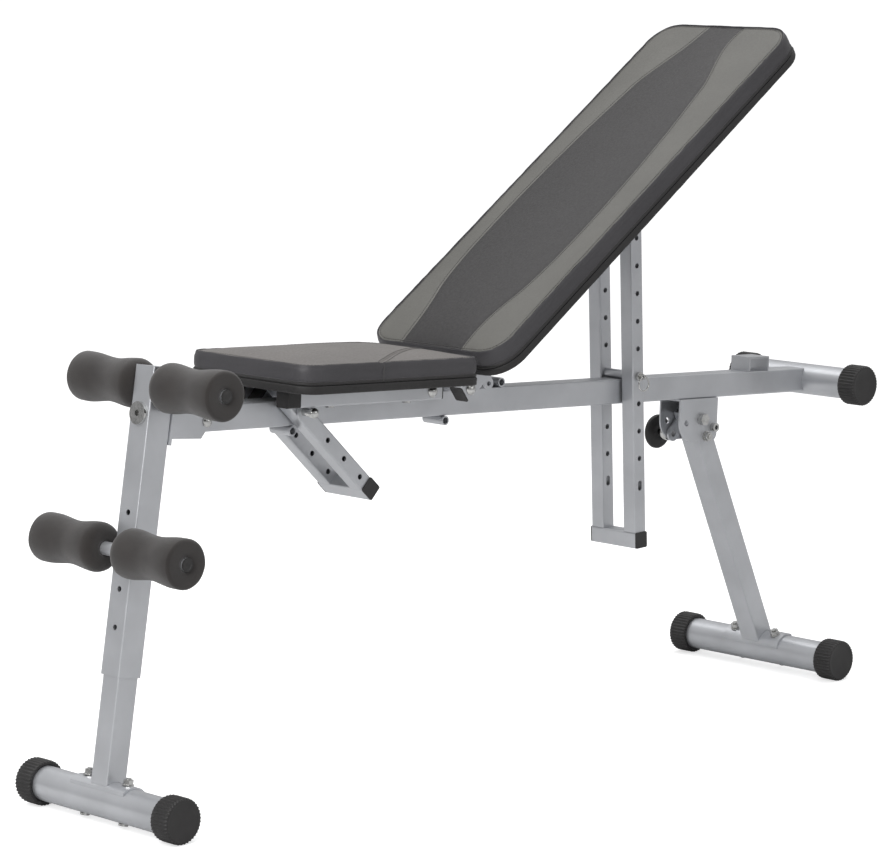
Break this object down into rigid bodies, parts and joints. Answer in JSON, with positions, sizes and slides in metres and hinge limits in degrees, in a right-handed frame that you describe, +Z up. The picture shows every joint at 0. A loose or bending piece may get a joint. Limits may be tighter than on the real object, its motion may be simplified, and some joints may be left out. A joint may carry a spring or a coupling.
{
  "type": "decline sit up bench",
  "caption": "Folding decline sit up bench with an adjustable backrest and seat, foam leg rollers and a sloping steel frame.",
  "frame": {"origin": "on the floor, midway along the bench's overall length, in its middle plane", "axes": "+X from the front foot towards the rear cross tube, +Y to the far side, +Z up"},
  "size_m": [1.541, 0.344, 1.0551],
  "materials": {
    "frame_paint": "satin silver powder coat",
    "zinc": "bright zinc plate",
    "black_plastic": "moulded, matt",
    "foam": "closed-cell foam, matt",
    "seat_vinyl": "vinyl over foam",
    "back_vinyl": "vinyl over foam",
    "board": "plywood under black vinyl",
    "rubber_pad": "moulded rubber"
  },
  "bodies": {
    "frame": {"main_beam": "frame_paint", "beam_sleeves": "frame_paint", "front_bracket": "frame_paint", "frame_bolts": "zinc", "rest_bracket": "frame_paint", "rear_cross_tube": "frame_paint", "rear_cross_caps": "black_plastic", "front_post": "frame_paint", "post_bolt": "zinc", "upper_bar": "frame_paint", "lower_bar": "frame_paint", "bar_plugs": "black_plastic", "leg_bracket": "frame_paint", "leg_pivot_bolt": "zinc", "plunger_housing": "zinc"},
    "plunger": {"plunger_pin": "zinc", "plunger_knob": "black_plastic", "plunger_spring": "zinc"},
    "sliding_post": {"inner_post": "frame_paint", "front_foot_plate": "frame_paint", "front_foot_tube": "frame_paint", "front_foot_caps": "black_plastic", "front_foot_bolts": "zinc"},
    "folding_leg": {"rear_leg": "frame_paint", "rear_foot_plate": "frame_paint", "rear_foot_tube": "frame_paint", "rear_foot_caps": "black_plastic", "rear_foot_bolts": "zinc"},
    "roller_upper_near": {"upper_roller_near": "foam"},
    "roller_upper_far": {"upper_roller_far": "foam"},
    "roller_lower_near": {"lower_roller_near": "foam"},
    "roller_lower_far": {"lower_roller_far": "foam"},
    "seat": {"seat_rail_near": "frame_paint", "seat_rail_far": "frame_paint", "seat_rail_plugs": "black_plastic", "seat_board": "board", "seat_cushion": "seat_vinyl", "seat_hinge_bolt": "zinc", "seat_screws": "zinc", "seat_bumper": "rubber_pad", "seat_ladder_bolts": "zinc"},
    "seat_prop": {"seat_ladder_near": "frame_paint", "seat_ladder_far": "frame_paint", "seat_ladder_foot": "frame_paint", "seat_ladder_plugs": "black_plastic"},
    "backrest": {"back_rail_near": "frame_paint", "back_rail_far": "frame_paint", "back_rail_plugs": "black_plastic", "back_cross_bar": "frame_paint", "back_board": "board", "back_cushion": "back_vinyl", "back_hinge_bolt": "zinc", "back_screws": "zinc", "back_ladder_bolts": "zinc"},
    "backrest_prop": {"back_ladder_near": "frame_paint", "back_ladder_far": "frame_paint", "back_ladder_foot": "frame_paint", "back_ladder_plugs": "black_plastic"},
    "pin": {"pull_pin": "zinc"},
    "ring": {"pull_ring": "zinc"}
  },
  "joints": [
    {"name": "post_slide", "type": "slide", "parent": "frame", "child": "sliding_post", "axis": [0.1736, 0, 0.9848], "range_m": [-0.053, 0.106]},
    {"name": "leg_fold", "type": "hinge", "parent": "frame", "child": "folding_leg", "pos_m": [0.46635, 0, 0.42993], "axis": [0, 1, 0], "range_deg": [0, 38]},
    {"name": "plunger_slide", "type": "slide", "parent": "frame", "child": "plunger", "axis": [0, 1, 0], "range_m": [0, 0.005], "stiffness_N_per_m": 1200, "springref_m": -0.004, "deforming": ["plunger_spring"]},
    {"name": "seat_hinge", "type": "hinge", "parent": "frame", "child": "seat", "pos_m": [-0.17647, 0, 0.54852], "axis": [0, 1, 0], "range_deg": [0, 25]},
    {"name": "seat_prop_pivot", "type": "hinge", "parent": "seat", "child": "seat_prop", "pos_m": [-0.40634, 0, 0.54194], "axis": [0, 1, 0], "range_deg": [0, 11.6]},
    {"name": "backrest_hinge", "type": "hinge", "parent": "frame", "child": "backrest", "pos_m": [-0.09863, 0, 0.54363], "axis": [0, -1, 0], "range_deg": [-35, 11]},
    {"name": "backrest_prop_pivot", "type": "hinge", "parent": "backrest", "child": "backrest_prop", "pos_m": [0.28618, 0, 0.77785], "axis": [0, -1, 0], "range_deg": [-6, 18]},
    {"name": "pin_slide", "type": "slide", "parent": "backrest_prop", "child": "pin", "axis": [0, -1, 0], "range_m": [0, 0.045]},
    {"name": "ring_swing", "type": "hinge", "parent": "pin", "child": "ring", "pos_m": [0.2916, -0.0573, 0.51907], "axis": [-0.9998, 0, -0.0209], "range_deg": [0, 90]},
    {"name": "roller_upper_near_spin", "type": "hinge", "parent": "frame", "child": "roller_upper_near", "pos_m": [-0.63815, -0.0865, 0.59876], "axis": [0, 1, 0], "continuous": true},
    {"name": "roller_upper_far_spin", "type": "hinge", "parent": "frame", "child": "roller_upper_far", "pos_m": [-0.63815, 0.0865, 0.59876], "axis": [0, 1, 0], "continuous": true},
    {"name": "roller_lower_near_spin", "type": "hinge", "parent": "frame", "child": "roller_lower_near", "pos_m": [-0.71239, -0.0865, 0.37932], "axis": [0, 1, 0], "continuous": true},
    {"name": "roller_lower_far_spin", "type": "hinge", "parent": "frame", "child": "roller_lower_far", "pos_m": [-0.71239, 0.0865, 0.37932], "axis": [0, 1, 0], "continuous": true}
  ],
  "couplings": [
    {"joint": "seat_prop_pivot", "follows": "seat_hinge", "ratio": 0.46},
    {"joint": "backrest_prop_pivot", "follows": "backrest_hinge", "ratio": -0.5}
  ]
}
